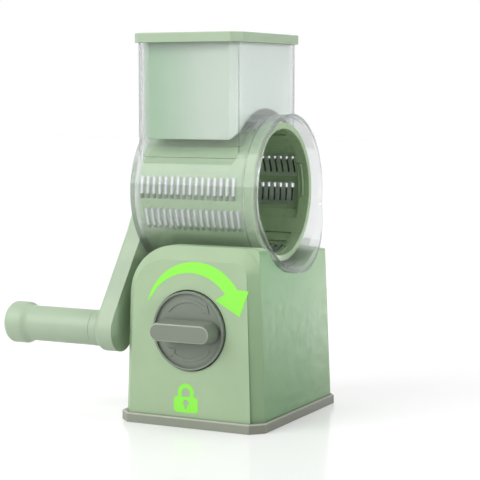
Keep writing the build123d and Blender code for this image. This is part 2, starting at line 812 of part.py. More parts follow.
def finger_tab(middle):
    """Rounded tab inside the front ring, with a shallow pocket for a fingertip."""
    end = land_front_x + tab_width
    rim_arc = degrees(tab_rim / tab_bore)
    with BuildPart() as tab:
        add(ring_band(land_front_x, end, tab_bore, ring_bore + weld, middle - tab_arc / 2, tab_arc))
        corners = tab.edges().filter_by(GeomType.LINE).filter_by(Axis.X, reverse=True)
        fillet(corners, tab_corner)
        pocket = ring_band(
            land_front_x + tab_rim,
            end - tab_rim,
            tab_bore - weld,
            tab_bore + tab_pocket,
            middle - tab_arc / 2 + rim_arc,
            tab_arc - 2 * rim_arc,
        )
        add(pocket, mode=Mode.SUBTRACT)
    return tab.part


hub_front = drum_back + hub_length
hub_core = hub_radius - weld
land_radius = plate_inner - slip_gap
rib_arc = 360 / plate_count - plate_arc
with BuildPart() as drum_frame:
    add(ring_band(drum_back, drum_back + rim_length, hub_core, drum_radius, 0, 360))
    add(ring_band(drum_back, land_back_x, hub_core, land_radius, 0, 360))
    add(ring_band(drum_back, hub_front, 0, hub_radius, 0, 360))
    add(ring_band(ring_start_x, drum_front, ring_bore, drum_radius, 0, 360))
    add(ring_band(land_front_x, drum_front, ring_bore, land_radius, 0, 360))
    for k in range(plate_count):
        seam = plate_middle + (k + 0.5) * 360 / plate_count
        bar = rib_arc - 2 * seam_gap
        land = rib_arc + 2 * rib_overlap
        add(ring_band(drum_back, drum_front, land_radius - weld, drum_radius, seam - bar / 2, bar))
        add(ring_band(drum_back, drum_front, ring_bore, land_radius, seam - land / 2, land))
        add(finger_tab(plate_middle + k * 360 / plate_count))
    # bore and square socket of the hub
    with BuildSketch(arm_section(hub_front)):
        Rectangle(drive_square + 2 * slip_gap, drive_square + 2 * slip_gap)
    extrude(amount=hub_length, mode=Mode.SUBTRACT)

drum_frame.part.label = "drum_frame"
export_step(drum_frame.part, "parts/drum_frame.step")


def tooth_xs(row):
    """X of each tooth in a row; row is +1 for the upper row and -1 for the lower."""
    middle = row_x - row * row_shift
    return [middle + (i - (tooth_count - 1) / 2) * tooth_pitch for i in range(tooth_count)]


def tooth_row(row, start, arc, width, r0, r1):
    """Bars side by side at every tooth of a row, r0..r1 thick, from the start angle."""
    with BuildPart() as bars:
        with BuildSketch(radial_plane(start)):
            with Locations(*[(x, (r0 + r1) / 2) for x in tooth_xs(row)]):
                Rectangle(width, r1 - r0)
        revolve(axis=drum_axis, revolution_arc=arc)
    return bars.part


def tooth_hoods(row, start, arc, width, r0, r1):
    """Like tooth_row, with rounded crowns."""
    with BuildPart() as hoods:
        with BuildSketch(radial_plane(start)):
            for x in tooth_xs(row):
                with BuildLine():
                    Polyline((x - width / 2, r1 - crown), (x - width / 2, r0), (x + width / 2, r0),
                             (x + width / 2, r1 - crown))
                    ThreePointArc((x - width / 2, r1 - crown), (x, r1), (x + width / 2, r1 - crown))
                make_face()
        revolve(axis=drum_axis, revolution_arc=arc)
    return hoods.part


slot_arc = tooth_arc + mouth_arc
hood_radius = drum_radius + tooth_rise
strip_outer = plate_inner - slip_gap
strip_inner = strip_outer - strip_thick
strip_reach = (tooth_count - 1) * tooth_pitch / 2 + tooth_width / 2 + strip_edge
border_start_x = land_back_x + fit_gap
border_end_x = land_front_x - fit_gap
border_bore = plate_inner - border_rise
border_half = plate_arc / 2 - border_inset
for k in range(plate_count):
    middle = plate_middle + k * 360 / plate_count
    starts = {row: middle + row * row_middle - slot_arc / 2 for row in (1, -1)}
    edges = {"lower": middle - border_half, "upper": middle + border_half - border_arc}
    with BuildPart() as plate:
        add(ring_band(plate_start_x, plate_end_x, plate_inner, drum_radius, middle - plate_arc / 2, plate_arc))
        for edge in edges.values():
            add(ring_band(border_start_x, border_end_x, border_bore, plate_inner + weld, edge, border_arc))
        band_start = border_end_x - border_band
        add(ring_band(band_start, border_end_x, border_bore, plate_inner + weld, edges["lower"], 2 * border_half))
        for row, start in starts.items():
            slots = tooth_row(row, start, slot_arc, tooth_width + 2 * slot_gap, border_bore, drum_radius + weld)
            add(slots, mode=Mode.SUBTRACT)
    plate.part.label = f"shredding_plate_{k + 1}"
    export_step(plate.part, f"parts/shredding_plate_{k + 1}.step")

    with BuildPart() as strips:
        for row, start in starts.items():
            centre = row_x - row * row_shift
            ends = (centre - strip_reach, centre + strip_reach)
            add(ring_band(*ends, strip_inner, strip_outer, start - strip_margin, slot_arc + 2 * strip_margin))
        for row, start in starts.items():
            add(tooth_hoods(row, start + mouth_arc, tooth_arc, tooth_width, strip_inner, hood_radius))
        for row, start in starts.items():
            opening_width = tooth_width - 2 * mouth_wall
            opening = tooth_row(row, start, mouth_arc, opening_width, strip_inner - weld, strip_outer + weld)
            add(opening, mode=Mode.SUBTRACT)
            inside = tooth_width - 2 * tooth_skin
            hollow = slot_arc - tooth_close
            channel = tooth_row(row, start, hollow, inside, strip_inner - weld, hood_radius - tooth_skin)
            add(channel, mode=Mode.SUBTRACT)
    strips.part.label = f"tooth_strips_{k + 1}"
    export_step(strips.part, f"parts/tooth_strips_{k + 1}.step")

# =====================================================================================
# Crank: arm, axle, axle screw, hub cover, and the pin that carries the grip
# =====================================================================================
def border(faces):
    """Edges round a group of faces, leaving out the ones that two of them share."""
    edges = faces.edges()
    return ShapeList([e for e in edges if sum(1 for other in edges if other.is_same(e)) == 1])


arm_edge_on = Plane(origin=(0, 0, drum_z), x_dir=throw, z_dir=throw.cross(Vector(1, 0, 0)))
spread = (arm_end_radius - arm_hub_radius) / crank_throw
reach = sqrt(1 - spread**2)
arm_near = -arm_hub_radius - overcut
arm_far = crank_throw + arm_end_radius + overcut
web_x = arm_inner - socket_depth
cover_floor = web_x - web_thick
pin_start = arm_pin_inner - pin_wall
with BuildPart() as crank_arm:
    with BuildSketch(arm_section(arm_inner + weld)):
        Circle(arm_hub_radius)
        with Locations((crank_throw, 0)):
            Circle(arm_end_radius)
        with BuildLine():
            Polyline(
                (-spread * arm_hub_radius, reach * arm_hub_radius),
                (crank_throw - spread * arm_end_radius, reach * arm_end_radius),
                (crank_throw - spread * arm_end_radius, -reach * arm_end_radius),
                (-spread * arm_hub_radius, -reach * arm_hub_radius),
                close=True,
            )
        make_face()
    extrude(amount=arm_thick + arm_lean + 2 * weld)
    # seen edge on: flat at the hub, leaning outwards, flat again at the pin
    with BuildSketch(arm_edge_on) as edge_view:
        with BuildLine():
            Polyline(
                (arm_near, arm_inner),
                (lean_start, arm_inner),
                (lean_end, arm_pin_inner),
                (arm_far, arm_pin_inner),
                (arm_far, arm_pin_outer),
                (lean_end, arm_pin_outer),
                (lean_start, arm_inner - arm_thick),
                (arm_near, arm_inner - arm_thick),
                close=True,
            )
        make_face()
        bends = edge_view.vertices().filter_by(lambda v: arm_near + weld < v.X < arm_far - weld)
        fillet(bends, arm_bend)
    extrude(amount=arm_end_radius + overcut, both=True, mode=Mode.INTERSECT)
    outer_faces = crank_arm.faces().filter_by(lambda f: f.normal_at().X < -0.9)
    fillet(border(outer_faces), arm_outer_fillet)
    with BuildSketch(arm_section(arm_pin_outer)):
        with Locations((crank_throw, 0)):
            Circle(boss_radius)
    extrude(amount=boss_length)
    # square socket, screw hole and the recess for the hub cover
    with BuildSketch(arm_section(arm_inner)):
        Rectangle(drive_square + 2 * slip_gap, drive_square + 2 * slip_gap)
    extrude(amount=socket_depth, mode=Mode.SUBTRACT)
    with BuildSketch(arm_section(arm_inner)):
        Circle(axle_screw_radius + slip_gap)
    extrude(amount=arm_thick, mode=Mode.SUBTRACT)
    with BuildSketch(arm_section(cover_floor)):
        Circle(hub_cover_radius + slip_gap)
    extrude(amount=arm_thick, mode=Mode.SUBTRACT)
    # blind hole for the grip's pin
    with BuildSketch(arm_section(pin_start)):
        with Locations((crank_throw, 0)):
            Circle(pin_radius + slip_gap)
    extrude(amount=arm_thick + boss_length, mode=Mode.SUBTRACT)

crank_arm.part.label = "crank_arm"
export_step(crank_arm.part, "parts/crank_arm.step")

with BuildPart() as crank_axle:
    # head inside the drum, square through its hub, round through the bush, square in the arm
    with BuildSketch(side_plane(hub_front)):
        with Locations((0, drum_z)):
            Circle(axle_head_radius)
    extrude(amount=axle_head_thick)
    with BuildSketch(arm_section(hub_front)):
        Rectangle(drive_square, drive_square)
    extrude(amount=hub_front - web_x - slip_gap)
    with BuildSketch(side_plane(drum_back)):
        with Locations((0, drum_z)):
            Circle(axle_radius)
    extrude(amount=-(drum_back - arm_inner))
    with BuildSketch(arm_section(web_x + axle_screw_length - web_thick)):
        Circle(axle_screw_radius + slip_gap)
    extrude(amount=axle_screw_length, mode=Mode.SUBTRACT)

crank_axle.part.label = "crank_axle"
export_step(crank_axle.part, "parts/crank_axle.step")

with BuildPart() as axle_screw:
    with BuildSketch(arm_section(cover_floor)):
        Circle(axle_screw_head)
    extrude(amount=axle_screw_head_thick)
    with BuildSketch(arm_section(cover_floor)):
        Circle(axle_screw_radius)
    extrude(amount=-axle_screw_length)
    with BuildSketch(arm_section(cover_floor + axle_screw_head_thick * -0.5)):
        RegularPolygon(axle_screw_key, 6)
    extrude(amount=axle_screw_head_thick, mode=Mode.SUBTRACT)

axle_screw.part.label = "axle_screw"
export_step(axle_screw.part, "parts/axle_screw.step")

with BuildPart() as hub_cover:
    with BuildSketch(arm_section(cover_floor)):
        Circle(hub_cover_radius)
        Circle(hub_cover_radius - hub_cover_wall, mode=Mode.SUBTRACT)
    extrude(amount=arm_thick - socket_depth - web_thick)
    with BuildSketch(arm_section(arm_inner - arm_thick + hub_cover_sink)):
        Circle(hub_cover_radius)
    extrude(amount=hub_cover_sink + hub_cover_proud)
    fillet(hub_cover.faces().sort_by(Axis.X)[0].edges(), hub_cover_proud * 0.8)

hub_cover.part.label = "hub_cover"
export_step(hub_cover.part, "parts/hub_cover.step")

well_floor = grip_end + well_depth
pin_head_x = well_floor - running_gap
with BuildPart() as crank_pin:
    # shank from its blind end in the arm, through the grip, to the head in the grip's well
    with BuildSketch(arm_section(pin_start)):
        with Locations((crank_throw, 0)):
            Circle(pin_radius)
    extrude(amount=pin_start - pin_head_x + pin_head_thick)
    with BuildSketch(arm_section(pin_head_x)):
        with Locations((crank_throw, 0)):
            Circle(pin_head_radius)
    extrude(amount=pin_head_thick)
    with BuildSketch(arm_section(pin_head_x - pin_head_thick + pin_key_depth)):
        with Locations((crank_throw, 0)):
            RegularPolygon(pin_key, 6)
    extrude(amount=pin_key_depth, mode=Mode.SUBTRACT)

crank_pin.part.label = "crank_pin"
export_step(crank_pin.part, "parts/crank_pin.step")

# =====================================================================================
# Grip that turns on the pin, and its end cap
# =====================================================================================
grip_axis = Axis((0, pin_y, pin_z), (-1, 0, 0))
grip_plane = Plane(origin=(0, pin_y, pin_z), x_dir=(1, 0, 0), z_dir=(0, -1, 0))
bulge_start = grip_end + bulge_length
with BuildPart() as grip:
    with BuildSketch(grip_plane) as grip_profile:
        with BuildLine():
            Line((grip_start, 0), (grip_start, grip_radius))
            Line((grip_start, grip_radius), (bulge_start + bulge_ramp, grip_radius))
            Spline(
                (bulge_start + bulge_ramp, grip_radius),
                (bulge_start, bulge_radius),
                tangents=((-1, 0), (-1, 0)),
            )
            Line((bulge_start, bulge_radius), (grip_end, bulge_radius))
            Line((grip_end, bulge_radius), (grip_end, 0))
            Line((grip_end, 0), (grip_start, 0))
        make_face()
        rim = grip_profile.vertices().filter_by(lambda v: v.X < grip_end + 1 and v.Y > 1)
        fillet(rim, grip_end_fillet)
    revolve(axis=grip_axis)
    with BuildSketch(arm_section(grip_start)):
        with Locations((crank_throw, 0)):
            Circle(pin_radius + running_gap)
    extrude(amount=grip_length, mode=Mode.SUBTRACT)
    with BuildSketch(arm_section(well_floor)):
        with Locations((crank_throw, 0)):
            Circle(well_radius)
    extrude(amount=well_depth, mode=Mode.SUBTRACT)

grip.part.label = "grip"
export_step(grip.part, "parts/grip.step")

with BuildPart() as grip_cap:
    with BuildSketch(arm_section(grip_end + end_cap_thick)):
        with Locations((crank_throw, 0)):
            Circle(well_radius - slip_gap)
    extrude(amount=end_cap_thick + end_cap_proud)
    fillet(grip_cap.faces().sort_by(Axis.X)[0].edges(), end_cap_edge)

grip_cap.part.label = "grip_cap"
export_step(grip_cap.part, "parts/grip_cap.step")
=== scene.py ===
"""Looks of the hand cranked rotary vegetable shredder: materials, small details, light, camera."""
import math

import bmesh
import bpy
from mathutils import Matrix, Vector


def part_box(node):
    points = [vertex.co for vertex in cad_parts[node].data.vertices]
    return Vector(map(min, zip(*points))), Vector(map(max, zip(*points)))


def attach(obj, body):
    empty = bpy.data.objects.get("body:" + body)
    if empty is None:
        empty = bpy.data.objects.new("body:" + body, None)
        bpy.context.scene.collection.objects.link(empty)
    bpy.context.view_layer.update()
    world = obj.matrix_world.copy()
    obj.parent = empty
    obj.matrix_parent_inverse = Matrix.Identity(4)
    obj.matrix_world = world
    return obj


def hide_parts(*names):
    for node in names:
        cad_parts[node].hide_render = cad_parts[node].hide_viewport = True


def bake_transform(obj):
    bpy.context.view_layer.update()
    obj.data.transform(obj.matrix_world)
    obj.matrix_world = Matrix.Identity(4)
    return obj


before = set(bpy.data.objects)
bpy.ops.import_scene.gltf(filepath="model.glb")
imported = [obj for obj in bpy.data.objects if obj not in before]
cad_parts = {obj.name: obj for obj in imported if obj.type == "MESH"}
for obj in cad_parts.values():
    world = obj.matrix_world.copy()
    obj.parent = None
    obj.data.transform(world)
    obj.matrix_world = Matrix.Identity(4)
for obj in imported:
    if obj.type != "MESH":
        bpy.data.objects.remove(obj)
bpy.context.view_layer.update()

# Sizes shared with the CAD, in metres
KNOB_Z = 0.0742
KNOB_BAR_RISE = 0.015           # the bar's front before the disc's
KNOB_DISH_DEPTH = 0.002
KNOB_DISH_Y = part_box("lock_knob")[0][1] + KNOB_BAR_RISE + KNOB_DISH_DEPTH
FACE_FOOT_Y = -0.0709           # front face of the base at its foot
FACE_FOOT_Z = 0.0074
FACE_LEAN = math.radians(1.1)


# =====================================================================================
# Materials
# =====================================================================================
PLASTIC_IOR = 1.48
CLEAR_IOR = 1.5
BEVEL_SAMPLES = 4
CREVICE_SAMPLES = 6
CREVICE_REACH = 0.003           # metres that the painted crevice shade reaches
PLASTIC_CREVICE_SHADE = 0.4           # share of the colour that is left in a crevice under painted shade
STEEL_CREVICE_SHADE = 0.04
STEEL_FLANK_SHADE = 0.1               # share of the colour that is left on a flank under painted shade
EDGE_HIGHLIGHT_TURN = (0.995, 0.86)       # cosine of the turn of the normal, at no painted highlight and at full painted highlight
FILLET_HIGHLIGHT_BAND = (0.28, 0.45, 0.9, 0.97)      # cosine of the lean for the painted fillet highlight: start, full, still full, end
SIDE_FACING = (0.6, 0.97)       # cosine to +X at which the painted side shading starts and is full
SIDE_SPAN = (-0.005, 0.085)     # Y from the near painted colour to the far one, in metres
THIN_SPAN = (-0.052, 0.02)      # X from the thick side to the thin one, over which the painted light grows
NOISE_SPAN = (0.3, 0.7)         # range of a noise value that matters
GRAZING_SPAN = (0.55, 1.0)      # facing value from straight on to along the wall
STRAIGHT_SHARE = 0.35           # share of light that passes the thin wall without being bent
LAMP_THROUGH = (0.93, 0.95, 0.94, 1.0)
WHITE = (1.0, 1.0, 1.0, 1.0)
BLACK = (0.0, 0.0, 0.0, 1.0)


def linear(r, g, b):
    """Linear colour from 8-bit display values."""
    def channel(v):
        v /= 255
        return v / 12.92 if v <= 0.04045 else ((v + 0.055) / 1.055) ** 2.4
    return (channel(r), channel(g), channel(b), 1.0)


def scaled(colour, factor):
    return (colour[0] * factor, colour[1] * factor, colour[2] * factor, 1.0)


class Nodes:
    """A node tree with short names for adding and joining; most calls return an output."""

    def __init__(self, tree):
        self.tree = tree

    def add(self, kind, **inputs):
        node = self.tree.nodes.new(kind)
        for key, value in inputs.items():
            node.inputs[key.replace("_", " ")].default_value = value
        return node

    def put(self, value, node, socket):
        """Join an output to the node's socket, or write a constant there."""
        if isinstance(value, bpy.types.NodeSocket):
            self.tree.links.new(value, node.inputs[socket])
        else:
            node.inputs[socket].default_value = value

    def math(self, operation, first, second):
        node = self.add("ShaderNodeMath")
        node.operation = operation
        self.put(first, node, 0)
        self.put(second, node, 1)
        return node.outputs["Value"]

    def vector_math(self, operation, *sources):
        node = self.add("ShaderNodeVectorMath")
        node.operation = operation
        for socket, source in enumerate(sources):
            self.put(source, node, socket)
        return node.outputs["Value"]

    def remap(self, value, span, low=0.0, high=1.0, smooth=False):
        """Value turned from the span to low..high."""
        node = self.add("ShaderNodeMapRange", From_Min=span[0], From_Max=span[1], To_Min=low, To_Max=high)
        if smooth:
            node.interpolation_type = "SMOOTHSTEP"
        self.put(value, node, "Value")
        return node.outputs["Result"]

    def blend(self, share, low, high):
        """Colour between low and high, each a colour or an output."""
        node = self.add("ShaderNodeMix")
        node.data_type = "RGBA"
        self.put(share, node, "Factor")
        self.put(low, node, "A")
        self.put(high, node, "B")
        return node.outputs["Result"]

    def ramp(self, value, low, high, span=NOISE_SPAN):
        node = self.add("ShaderNodeValToRGB")
        for stop, position, colour in zip(node.color_ramp.elements, span, (low, high)):
            stop.position = position
            stop.color = colour
        self.put(value, node, "Fac")
        return node.outputs["Color"]

    def parts(self, kind):
        """X, Y and Z of the object's own normal or place."""
        node = self.add("ShaderNodeSeparateXYZ")
        self.put(self.add("ShaderNodeTexCoord").outputs[kind], node, "Vector")
        return node.outputs

    def noise(self, scale, detail=2.0, stretch=(1.0, 1.0, 1.0)):
        mapping = self.add("ShaderNodeMapping", Scale=stretch)
        self.put(self.add("ShaderNodeTexCoord").outputs["Object"], mapping, "Vector")
        texture = self.add("ShaderNodeTexNoise", Scale=scale, Detail=detail)
        self.put(mapping.outputs["Vector"], texture, "Vector")
        return texture.outputs["Fac"]

    def seen_white(self):
        """1 for what is seen directly, in gloss or through clear plastic; 0 for what lights things."""
        path = self.add("ShaderNodeLightPath").outputs
        seen = self.math("MAXIMUM", path["Is Camera Ray"], path["Is Glossy Ray"])
        seen = self.math("MAXIMUM", seen, path["Is Transmission Ray"])
        direct = self.math("LESS_THAN", path["Diffuse Depth"], 0.5)
        return self.math("MULTIPLY", seen, direct)


class Shader(Nodes):
    """A material under construction."""

    def __init__(self, name):
        self.material = bpy.data.materials.new(name)
        self.material.use_nodes = True
        super().__init__(self.material.node_tree)
        self.bsdf = self.tree.nodes["Principled BSDF"]
        self.out = self.tree.nodes["Material Output"]

    def with_painted_crevice_shade(self, colour, crevice_shade_colour):
        """Base colour with painted shade that darkens it in narrow crevices."""
        crevice_occlusion = self.add("ShaderNodeAmbientOcclusion", Distance=CREVICE_REACH)
        crevice_occlusion.samples = CREVICE_SAMPLES
        crevice_occlusion.only_local = True
        self.put(self.blend(crevice_occlusion.outputs["AO"], crevice_shade_colour, colour), self.bsdf, "Base Color")

    def rounded(self, radius):
        """Normal that rounds edges off."""
        node = self.add("ShaderNodeBevel", Radius=radius)
        node.samples = BEVEL_SAMPLES
        return node.outputs["Normal"]

    def rough(self, pattern, smoothest, roughest):
        self.put(self.remap(pattern, NOISE_SPAN, smoothest, roughest), self.bsdf, "Roughness")

    def bumped(self, pattern, strength, depth, normal):
        bump = self.add("ShaderNodeBump", Strength=strength, Distance=depth)
        self.put(pattern, bump, "Height")
        self.put(normal, bump, "Normal")
        self.put(bump.outputs["Normal"], self.bsdf, "Normal")

    def painted_fillet_highlight(self, colour, axis, sign, highlight_colour, share):
        """Painted highlight: colour turned to highlight_colour where the surface leans 25 to 65 degrees from
        the signed axis.
        """
        lean = self.math("MULTIPLY", self.parts("Normal")[axis], sign)
        band = self.add("ShaderNodeValToRGB")
        stops = band.color_ramp.elements
        stops[0].position = FILLET_HIGHLIGHT_BAND[0]
        stops[1].position = FILLET_HIGHLIGHT_BAND[3]
        for position in FILLET_HIGHLIGHT_BAND[1:3]:
            stops.new(position).color = (share, share, share, 1.0)
        stops[0].color = BLACK
        stops[3].color = BLACK
        self.put(lean, band, "Fac")
        return self.blend(band.outputs["Color"], colour, highlight_colour)

    def painted_side_shading(self, colour, near, far):
        """Painted shade and light: colour that turns, on faces that look along +X, from near at the front to
        far at the back.
        """
        sideways = self.remap(self.parts("Normal")["X"], SIDE_FACING)
        back = self.remap(self.parts("Object")["Y"], SIDE_SPAN, smooth=True)
        return self.blend(sideways, colour, self.blend(back, near, far))


def moulded(name, colour, roughness, grain=0.06, grain_scale=1400.0, soft_edge=0.0006, mottle=0.03, edge_highlight=1.18,
            edge_highlight_share=0.35, painted_through_light=None, fillet_highlight=None, side=None, shine=0.5):
    """Moulded plastic: fine grain, faint mottle, rounded edges made paler by a painted highlight, and painted
    shade in crevices.

    painted_through_light is painted light: the paler colour that a thin-walled form takes on towards +X,
    standing in for light that passes through it.
    fillet_highlight is a painted highlight: an axis, X Y or Z, with a sign, a colour and its share. Faces that
    lean from the axis, as a fillet round the face towards that axis does, take on the colour. side is painted
    shade and
    light: the pair of colours, front and back, of faces that look along +X.
    """
    s = Shader(name)
    s.bsdf.inputs["IOR"].default_value = PLASTIC_IOR
    s.bsdf.inputs["Specular IOR Level"].default_value = shine
    cloud = s.noise(38.0, 3.0)
    surface = s.ramp(cloud, scaled(colour, 1 - mottle), scaled(colour, 1 + mottle))
    # Painted light: the colour turns paler towards +X, for light that passes through the wall
    if painted_through_light:
        along = s.remap(s.parts("Object")["X"], THIN_SPAN, smooth=True)
        surface = s.blend(along, surface, painted_through_light)
    soft_normal = s.rounded(soft_edge)
    true_normal = s.add("ShaderNodeNewGeometry").outputs["Normal"]
    # Painted highlight: rounded edges turn paler, as if they caught the light
    painted_edge_highlight = s.remap(s.vector_math("DOT_PRODUCT", soft_normal, true_normal), EDGE_HIGHLIGHT_TURN, 0.0, edge_highlight_share)
    surface = s.blend(painted_edge_highlight, surface, scaled(colour, edge_highlight))
    # Painted highlight on fillets that lean from the given axis
    if fillet_highlight:
        surface = s.painted_fillet_highlight(surface, *fillet_highlight)
    # Painted shade and light on faces that look along +X
    if side:
        surface = s.painted_side_shading(surface, *side)
    # Painted shade: the colour darkens in narrow crevices
    s.with_painted_crevice_shade(surface, scaled(colour, PLASTIC_CREVICE_SHADE))
    s.rough(s.noise(160.0, 4.0), roughness - 0.05, roughness + 0.05)
    s.bumped(s.noise(grain_scale, 2.0), grain, 0.00015, soft_normal)
    return s.material


def brushed(name, colour, roughness, stretch, flank_shade=0.0):
    """Rolled steel with fine lines along one direction; flank_shade paints shade that darkens what looks along
    +X.
    """
    s = Shader(name)
    s.bsdf.inputs["Metallic"].default_value = 1.0
    lines = s.noise(900.0, 3.0, stretch)
    surface = s.ramp(lines, scaled(colour, 0.9), scaled(colour, 1.08))
    # Painted shade on flanks that look along +X
    painted_flank_shade = s.remap(s.parts("Normal")["X"], (0.15, 0.7), 0.0, flank_shade)
    surface = s.blend(painted_flank_shade, surface, scaled(colour, STEEL_FLANK_SHADE))
    # Painted shade: the colour darkens in narrow crevices
    s.with_painted_crevice_shade(surface, scaled(colour, STEEL_CREVICE_SHADE))
    s.rough(lines, roughness - 0.06, roughness + 0.08)
    s.bumped(lines, 0.08, 0.0001, s.rounded(0.00025))
    return s.material


def clear(name, tint, tint_through, tint_grazing, roughness):
    """Clear styrene that bends some of what is behind it; lamps shine through it.

    tint_through and tint_grazing are those of a thin wall seen straight on and along its surface.
    """
    s = Shader(name)
    s.put(s.ramp(s.noise(45.0, 4.0), scaled(tint, 0.97), tint), s.bsdf, "Base Color")
    s.bsdf.inputs["IOR"].default_value = CLEAR_IOR
    s.bsdf.inputs["Transmission Weight"].default_value = 0.95
    s.bsdf.inputs["Roughness"].default_value = roughness
    s.put(s.rounded(0.0008), s.bsdf, "Normal")
    slant = s.add("ShaderNodeLayerWeight", Blend=0.5)
    grazing = s.remap(slant.outputs["Facing"], GRAZING_SPAN)
    thin = s.add("ShaderNodeBsdfTransparent")
    s.put(s.ramp(grazing, tint_through, tint_grazing, (0.0, 1.0)), thin, "Color")
    wall = s.add("ShaderNodeMixShader", Fac=STRAIGHT_SHARE)
    s.put(s.bsdf.outputs["BSDF"], wall, 1)
    s.put(thin.outputs["BSDF"], wall, 2)
    lamp_side = s.add("ShaderNodeBsdfTransparent", Color=LAMP_THROUGH)
    surface = s.add("ShaderNodeMixShader")
    s.put(s.add("ShaderNodeLightPath").outputs["Is Shadow Ray"], surface, 0)
    s.put(wall.outputs["Shader"], surface, 1)
    s.put(lamp_side.outputs["BSDF"], surface, 2)
    s.put(surface.outputs["Shader"], s.out, "Surface")
    return s.material


SAGE = linear(171, 195, 159)
# Painted shade: the base's +X face darker, most towards the front
SAGE_SIDE_PAINTED_SHADE = (linear(130, 176, 125), linear(163, 197, 153))
CAP_SAGE = linear(164, 185, 156)
HANDLE_SAGE = linear(170, 190, 163)
DRUM_SAGE = linear(160, 186, 146)
PALE = linear(158, 190, 156)
# Painted light: the pusher block turns to this paler colour towards +X
PALE_PAINTED_THROUGH_LIGHT = linear(208, 219, 205)
# Painted light: the pusher block's +X face much paler
PALE_SIDE_PAINTED_LIGHT = linear(238, 248, 238)
KNOB_GREY = linear(127, 136, 123)
# Painted highlight on the knob's front fillets
KNOB_FILLET_HIGHLIGHT = linear(181, 180, 170)
FOOT_GREY = linear(147, 152, 137)
# Painted highlight on the foot's top fillets
FOOT_FILLET_HIGHLIGHT = linear(192, 194, 181)
OFF_WHITE = linear(222, 222, 216)
RUBBER_GREY = linear(120, 122, 118)
STEEL = linear(188, 190, 192)
TOOTH_STEEL = linear(236, 238, 240)
CLEAR_TINT = linear(247, 249, 249)
CLEAR_THROUGH = (0.905, 0.91, 0.92, 1.0)
CLEAR_GRAZING = (0.72, 0.73, 0.76, 1.0)
LIME = linear(149, 250, 80)

sage = moulded("sage_plastic", SAGE, 0.42, side=SAGE_SIDE_PAINTED_SHADE, shine=0.35)
drum_sage = moulded("sage_plastic_gloss", DRUM_SAGE, 0.3, grain=0.03)
cap_sage = moulded("cap_plastic", CAP_SAGE, 0.38)
handle_sage = moulded("handle_plastic", HANDLE_SAGE, 0.42)
pale = moulded("pale_plastic", PALE, 0.4, painted_through_light=PALE_PAINTED_THROUGH_LIGHT, side=(PALE_SIDE_PAINTED_LIGHT, PALE_SIDE_PAINTED_LIGHT))
# The knob and the foot get strong painted highlights on their rounded edges
grey = moulded("knob_plastic", KNOB_GREY, 0.42, grain=0.12, grain_scale=2200.0, edge_highlight=1.9, edge_highlight_share=0.8,
               fillet_highlight=("Y", -1.0, KNOB_FILLET_HIGHLIGHT, 0.75))
foot_grey = moulded("foot_plastic", FOOT_GREY, 0.45, grain=0.15, grain_scale=2200.0, edge_highlight=1.7, edge_highlight_share=0.8,
                    fillet_highlight=("Z", 1.0, FOOT_FILLET_HIGHLIGHT, 0.9))
white = moulded("white_plastic", OFF_WHITE, 0.4)
rubber = moulded("grey_rubber", RUBBER_GREY, 0.6, grain=0.1)
print_ink = moulded("print_ink", LIME, 0.45, grain=0.02, soft_edge=0.0001, mottle=0.01)
# Painted shade on the teeth's flanks that look along +X
tooth_steel = brushed("tooth_steel", TOOTH_STEEL, 0.3, (1.0, 8.0, 8.0), flank_shade=0.85)
bolt_steel = brushed("fastener_steel", STEEL, 0.32, (6.0, 1.0, 1.0))
clear_plastic = clear("clear_plastic", CLEAR_TINT, CLEAR_THROUGH, CLEAR_GRAZING, 0.03)

FINISH = {
    "base_housing": sage, "crank_arm": handle_sage, "hub_cover": handle_sage, "grip": handle_sage,
    "grip_cap": handle_sage, "drum_frame": drum_sage, "pusher_cap": cap_sage, "pusher_block": pale,
    "clear_housing": clear_plastic, "foot_frame": foot_grey, "lock_knob": grey, "bottom_plate": white,
    "cam_shaft": white, "suction_stem": white, "axle_bush": white, "suction_cup": rubber,
}
for plate in range(1, 5):
    FINISH[f"shredding_plate_{plate}"] = drum_sage
    FINISH[f"tooth_strips_{plate}"] = tooth_steel
for node_name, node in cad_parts.items():
    for slot in node.material_slots:
        slot.material = FINISH.get(node_name, bolt_steel)


# =====================================================================================
# Pieces made here
# =====================================================================================
def shown(name, mesh, material):
    """Object of a mesh, in the scene, with one material."""
    obj = bpy.data.objects.new(name, mesh)
    bpy.context.scene.collection.objects.link(obj)
    mesh.materials.clear()
    mesh.materials.append(material)
    return obj


def polygons(name, vertices, faces, smooth):
    mesh = bpy.data.meshes.new(name)
    mesh.from_pydata(vertices, [], faces)
    mesh.update()
    for polygon in mesh.polygons:
        polygon.use_smooth = smooth
    return mesh


def face_y(z):
    """Y of the base's front face at height z."""
    return FACE_FOOT_Y + (z - FACE_FOOT_Z) * math.tan(FACE_LEAN)


def raised(name, outline, holes, material, rise, back_y, body):
    """Flat raised form from an outline in (x, z), standing on the surface that back_y(z) gives."""
    curve = bpy.data.curves.new(name, "CURVE")
    curve.dimensions = "2D"
    curve.fill_mode = "BOTH"
    curve.extrude = rise / 2
    for loop in [outline] + holes:
        spline = curve.splines.new("POLY")
        spline.points.add(len(loop) - 1)
        for point, (x, z) in zip(spline.points, loop):
            point.co = (x, z, 0, 1)
        spline.use_cyclic_u = True
    flat = bpy.data.objects.new(name + "_outline", curve)
    mesh = bpy.data.meshes.new_from_object(flat)
    bpy.data.objects.remove(flat)
    for vertex in mesh.vertices:
        x, z, lift = vertex.co
        vertex.co = (x, back_y(z) - rise / 2 - lift, z)
    obj = shown(name, mesh, material)
    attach(obj, body)


INK_THICKNESS = 0.00012
INK_SINK = 0.00002


def printed(name, outline, holes=()):
    """Flat print on the base's front face from an outline in (x, z)."""
    raised(name, outline, list(holes), print_ink, INK_THICKNESS, lambda z: face_y(z) - INK_SINK, "base")


